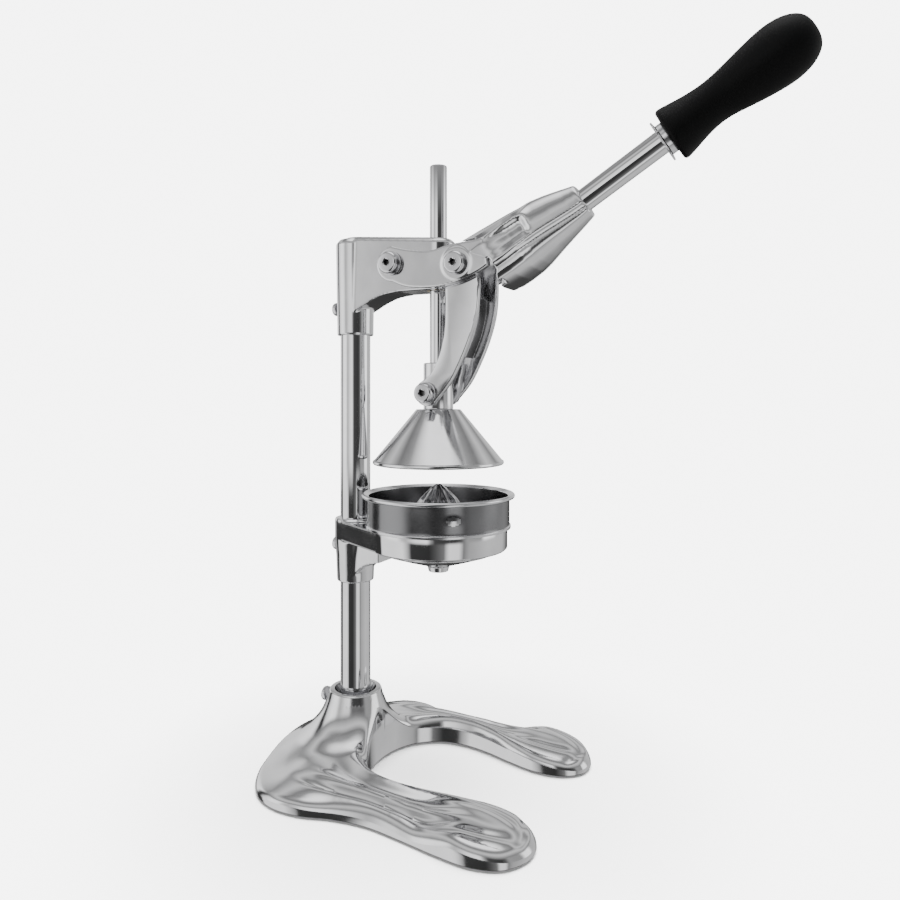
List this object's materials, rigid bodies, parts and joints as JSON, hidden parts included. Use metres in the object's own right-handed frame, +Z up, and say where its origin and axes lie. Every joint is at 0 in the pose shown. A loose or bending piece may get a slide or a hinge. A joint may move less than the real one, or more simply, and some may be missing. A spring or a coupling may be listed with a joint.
{
  "type": "citrus press juicer",
  "caption": "Upright lever citrus press: horseshoe base, column, hinged lever with grip, curved link, guided press cone over a strainer cup on a ring holder.",
  "frame": {"origin": "on the column axis at table level, in the middle of the rubber pad under the column", "axes": "+X from the column towards the user and the grip, +Y to the left seen from the user's side of the stand, +Z up; the XZ plane is the plane of symmetry"},
  "size_m": [0.3666, 0.1752, 0.4843],
  "materials": {
    "polished_cast": "polished",
    "steel_tube": "polished",
    "cup_steel": "satin",
    "fastener": "polished",
    "bush_brass": "satin",
    "rubber_pad": "matte",
    "grip": "matte"
  },
  "bodies": {
    "stand": {"base_casting": "polished_cast", "base_set_screw": "fastener", "column_tube": "steel_tube", "cup_holder": "polished_cast", "drip_funnel": "polished_cast", "head_casting": "polished_cast", "head_set_screw": "fastener", "holder_set_screw": "fastener", "pad_front_left": "rubber_pad", "pad_front_right": "rubber_pad", "pad_middle": "rubber_pad", "pad_rear_left": "rubber_pad", "pad_rear_right": "rubber_pad", "pivot_bolt": "fastener", "pivot_nut": "fastener", "pivot_washer_left": "fastener", "pivot_washer_right": "fastener", "reamer": "polished_cast", "rod_bush": "bush_brass", "strainer_cup": "cup_steel"},
    "lever": {"lever_casting": "polished_cast", "pivot_bush_left": "bush_brass", "pivot_bush_right": "bush_brass", "link_screw_left": "fastener", "link_screw_right": "fastener", "handle_tube": "steel_tube", "grip": "grip", "grip_washer": "fastener"},
    "press": {"press_cone": "polished_cast", "cone_screw": "fastener", "rod_post": "polished_cast", "guide_rod": "steel_tube", "press_bolt": "fastener", "press_nut": "fastener", "press_washer_left": "fastener", "press_washer_right": "fastener", "press_spacer_left": "fastener", "press_spacer_right": "fastener"},
    "link": {"link_yoke": "polished_cast", "link_bush_left": "bush_brass", "link_bush_right": "bush_brass"}
  },
  "joints": [
    {"name": "lever_hinge", "type": "hinge", "parent": "stand", "child": "lever", "pos_m": [0.046, 0, 0.36], "axis": [0, 1, 0], "range_deg": [-35, 31]},
    {"name": "press_slide", "type": "slide", "parent": "stand", "child": "press", "axis": [0, 0, 1], "range_m": [-0.0265, 0.0295]},
    {"name": "link_hinge", "type": "hinge", "parent": "press", "child": "link", "pos_m": [0.07, 0, 0.2706], "axis": [0, 1, 0], "range_deg": [-2.4, 2.7]}
  ],
  "couplings": [
    {"joint": "press_slide", "follows": "lever_hinge", "m_per_rad": -0.0475},
    {"joint": "link_hinge", "follows": "lever_hinge", "ratio": -0.07}
  ]
}
